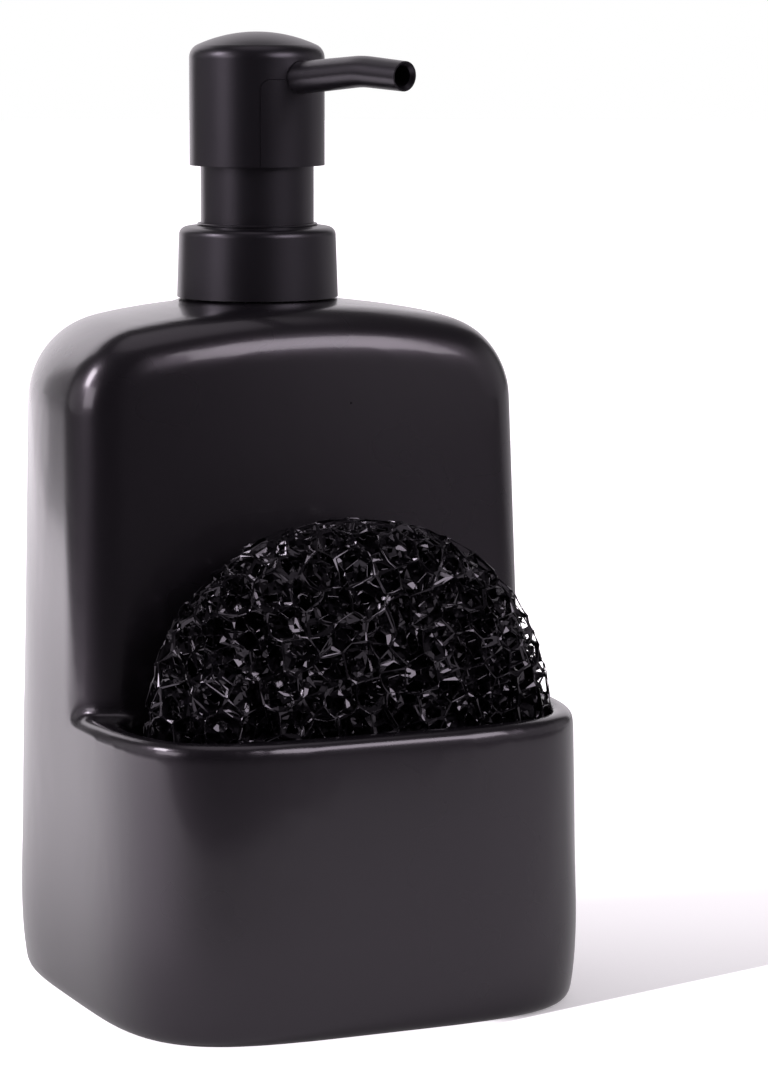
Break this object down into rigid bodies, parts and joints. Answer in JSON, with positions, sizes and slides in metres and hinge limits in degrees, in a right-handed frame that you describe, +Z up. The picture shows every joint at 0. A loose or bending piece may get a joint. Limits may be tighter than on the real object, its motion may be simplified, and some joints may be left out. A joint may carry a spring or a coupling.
{
  "type": "soap pump caddy",
  "caption": "Free-standing glazed ceramic soap dispenser with a lotion pump that presses and turns, and an open front pocket that holds a round mesh scrubber.",
  "frame": {"origin": "centre of the footprint, on the surface that the caddy stands on", "axes": "+X to the right seen from the front, -Y to the front where the pocket is, +Z up along the pump"},
  "size_m": [0.1028, 0.1028, 0.1981],
  "materials": {
    "glaze": "black glaze, satin",
    "pump_plastic": "black, fine satin",
    "clear_plastic": "natural, slightly cloudy",
    "seal": "soft, matte",
    "steel": "bright drawn wire and polished ball",
    "scrubber": "black, glossy film mesh"
  },
  "bodies": {
    "base": {"ceramic_body": "glaze", "neck_grommet": "seal", "neck_insert": "pump_plastic"},
    "closure": {"closure_cap": "pump_plastic"},
    "pump_unit": {"cap_gasket": "seal", "pump_housing": "clear_plastic", "ball_retainer": "clear_plastic", "dip_tube": "clear_plastic", "guide_sleeve": "pump_plastic", "stem_wiper": "seal"},
    "valve_ball": {"check_ball": "steel"},
    "plunger": {"stem": "clear_plastic", "piston_seal": "clear_plastic", "return_spring": "steel"},
    "head": {"head_shell": "pump_plastic", "spout_actuator": "pump_plastic"},
    "scrubber": {"scrubber_pad": "scrubber"}
  },
  "joints": [
    {"name": "pump_lift", "type": "slide", "parent": "base", "child": "pump_unit", "axis": [0, 0, 1], "range_m": [0, 0.15]},
    {"name": "cap_turn", "type": "hinge", "parent": "pump_unit", "child": "closure", "pos_m": [0, 0.01975, 0.15], "axis": [0, 0, 1], "range_deg": [0, 540]},
    {"name": "check_ball_lift", "type": "slide", "parent": "pump_unit", "child": "valve_ball", "axis": [0, 0, 1], "range_m": [0, 0.0015]},
    {"name": "head_press", "type": "slide", "parent": "pump_unit", "child": "plunger", "axis": [0, 0, -1], "range_m": [0, 0.0115], "stiffness_N_per_m": 500, "springref_m": -0.008, "deforming": ["return_spring"]},
    {"name": "head_turn", "type": "hinge", "parent": "plunger", "child": "head", "pos_m": [0, 0.01975, 0.18], "axis": [0, 0, 1], "continuous": true},
    {"name": "scrubber_lift", "type": "slide", "parent": "base", "child": "scrubber", "axis": [0, 0, 1], "range_m": [0, 0.058]}
  ]
}
